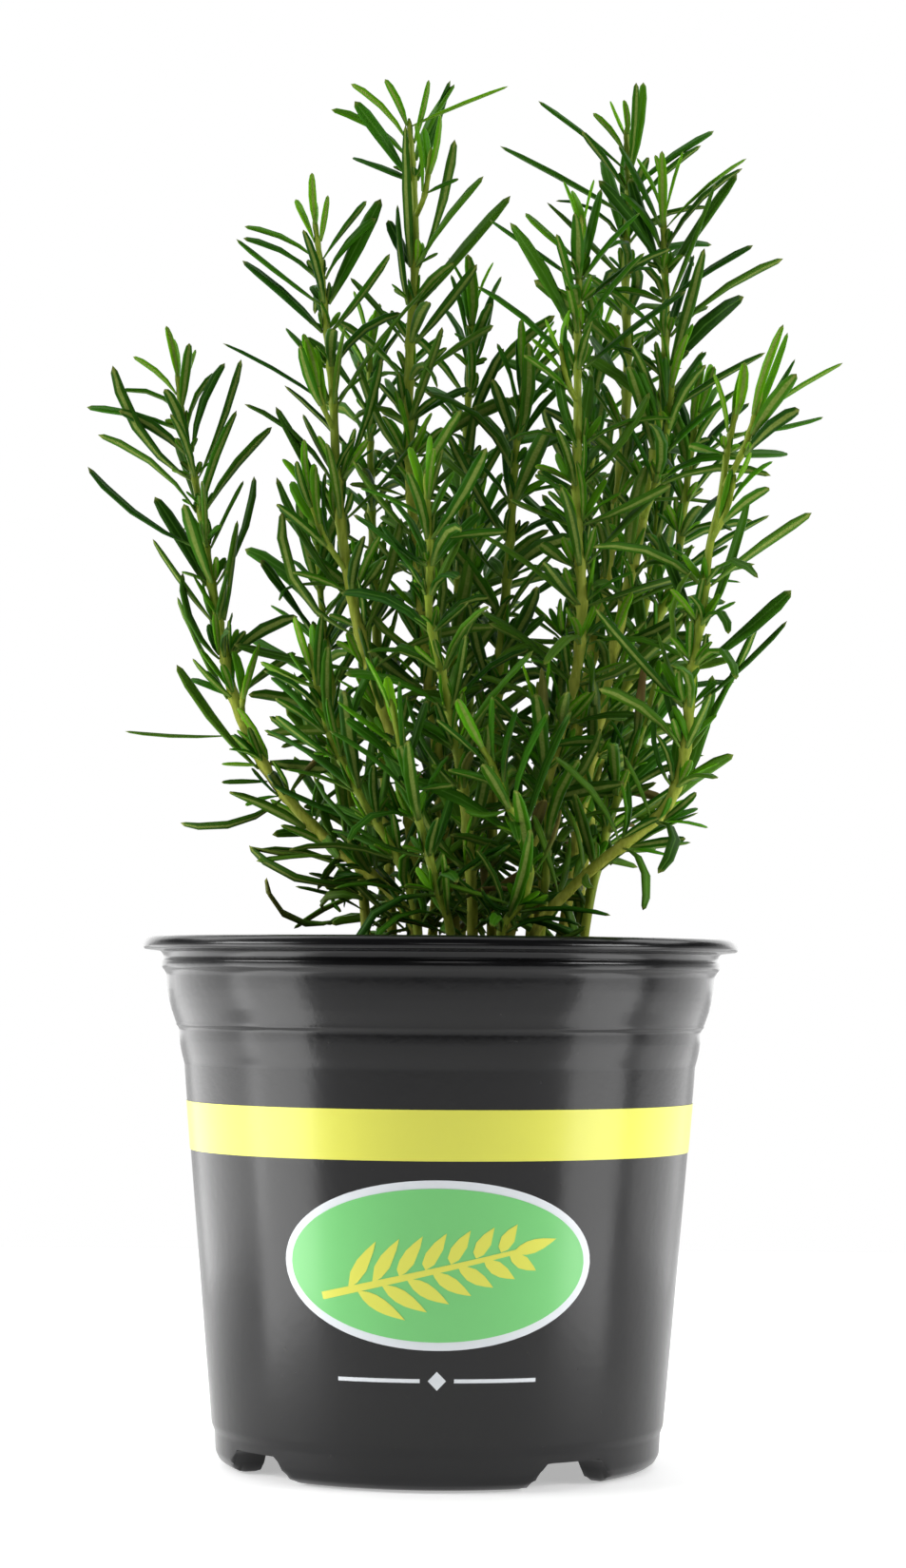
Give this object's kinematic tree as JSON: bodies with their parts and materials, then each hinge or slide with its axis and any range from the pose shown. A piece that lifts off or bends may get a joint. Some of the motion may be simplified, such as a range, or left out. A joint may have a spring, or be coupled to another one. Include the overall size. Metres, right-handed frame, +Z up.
{
  "type": "potted rosemary plant",
  "caption": "Rosemary plant in a round tapered nursery pot: upright leafy shoots rooted in potting mix, with a rolled rim, a notched foot ring and drain holes.",
  "frame": {"origin": "middle of the pot's foot, on the pot's axis, at the surface that it stands on", "axes": "+Z up along the pot's axis, -Y is the printed front, +X to the right of the front"},
  "size_m": [0.1455, 0.1142, 0.2715],
  "materials": {
    "pot_plastic": "glossy black moulded plastic",
    "printed_ink": "screen-printed ink, satin",
    "potting_mix": "damp peat and bark, rough",
    "rosemary_leaf": "waxy green needle leaves, pale felt underneath",
    "rosemary_stem": "green to woody brown stems"
  },
  "bodies": {
    "root": {"nursery_pot": "pot_plastic", "potting_mix": "potting_mix", "shoot_far_left": "rosemary_leaf", "shoot_left_tall": "rosemary_leaf", "shoot_centre_tall": "rosemary_leaf", "shoot_centre_front": "rosemary_leaf", "shoot_front_low_right": "rosemary_leaf", "shoot_front_low_left": "rosemary_leaf", "shoot_front_tall": "rosemary_leaf", "shoot_right_tall": "rosemary_leaf", "shoot_right_tall_front": "rosemary_leaf", "shoot_right_outer": "rosemary_leaf", "shoot_right_inner": "rosemary_leaf", "shoot_low_right": "rosemary_leaf", "shoot_left_low": "rosemary_leaf", "shoot_centre_low": "rosemary_leaf", "shoot_centre_back": "rosemary_leaf", "shoot_centre_back_tall": "rosemary_leaf", "shoot_back_left_tall": "rosemary_leaf", "shoot_back_right_tall": "rosemary_leaf", "shoot_back_left": "rosemary_leaf", "shoot_back_right": "rosemary_leaf", "shoot_back_centre": "rosemary_leaf"}
  },
  "joints": []
}
